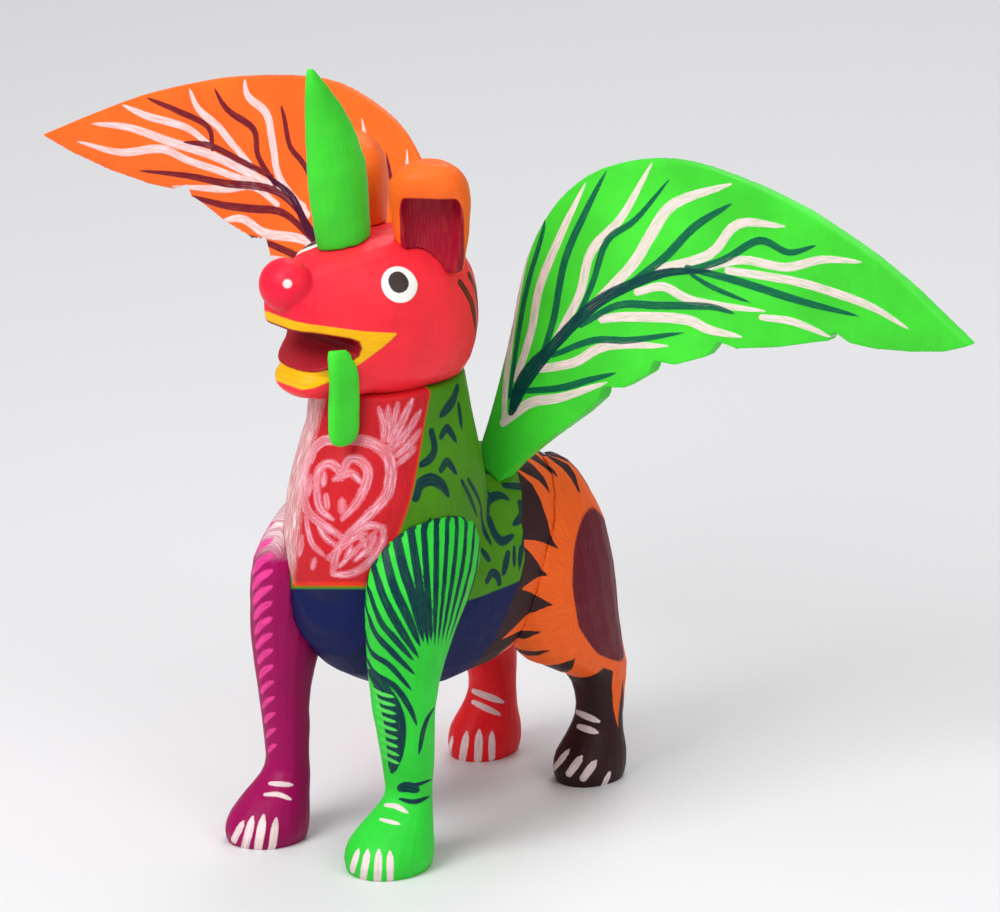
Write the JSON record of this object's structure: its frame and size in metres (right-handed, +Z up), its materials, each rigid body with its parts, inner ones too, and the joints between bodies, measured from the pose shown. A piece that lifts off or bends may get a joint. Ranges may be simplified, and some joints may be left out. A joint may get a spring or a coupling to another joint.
{
  "type": "carved wooden alebrije figure",
  "caption": "Painted carved-wood fantasy beast standing on four legs, with a horn, upright ears, an open mouth with a lolling tongue, and spread wings that pull out of its back.",
  "frame": {"origin": "middle of the figure's bounding box at the ground under its paws", "axes": "+Z up, the beast faces -Y, +X is the beast's left and runs along the wing span"},
  "size_m": [0.367, 0.1574, 0.257],
  "materials": {
    "olive_paint": "matte acrylic paint on carved wood",
    "red_paint": "satin acrylic paint on carved wood",
    "green_paint": "satin acrylic paint on carved wood",
    "magenta_paint": "satin acrylic paint on carved wood",
    "umber_paint": "matte acrylic paint on carved wood",
    "orange_paint": "satin acrylic paint on carved wood",
    "bare_wood": "unpainted carved softwood"
  },
  "bodies": {
    "figure": {"torso": "olive_paint", "head": "red_paint", "neck_dowel": "bare_wood", "front_left_leg": "green_paint", "front_left_leg_dowel": "bare_wood", "front_right_leg": "magenta_paint", "front_right_leg_dowel": "bare_wood", "rear_left_leg": "umber_paint", "rear_left_leg_dowel": "bare_wood", "rear_right_leg": "red_paint", "rear_right_leg_dowel": "bare_wood", "horn": "green_paint", "horn_peg": "bare_wood", "left_ear": "orange_paint", "left_ear_peg": "bare_wood", "right_ear": "orange_paint", "right_ear_peg": "bare_wood", "tongue": "green_paint", "tongue_peg": "bare_wood", "tail": "olive_paint", "tail_peg": "bare_wood"},
    "left_wing": {"left_wing": "green_paint", "left_wing_peg": "bare_wood"},
    "right_wing": {"right_wing": "orange_paint", "right_wing_peg": "bare_wood"}
  },
  "joints": [
    {"name": "left_wing_pull", "type": "slide", "parent": "figure", "child": "left_wing", "axis": [0.452, 0.1205, 0.8839], "range_m": [0, 0.016]},
    {"name": "right_wing_pull", "type": "slide", "parent": "figure", "child": "right_wing", "axis": [-0.452, 0.1205, 0.8839], "range_m": [0, 0.016]}
  ]
}
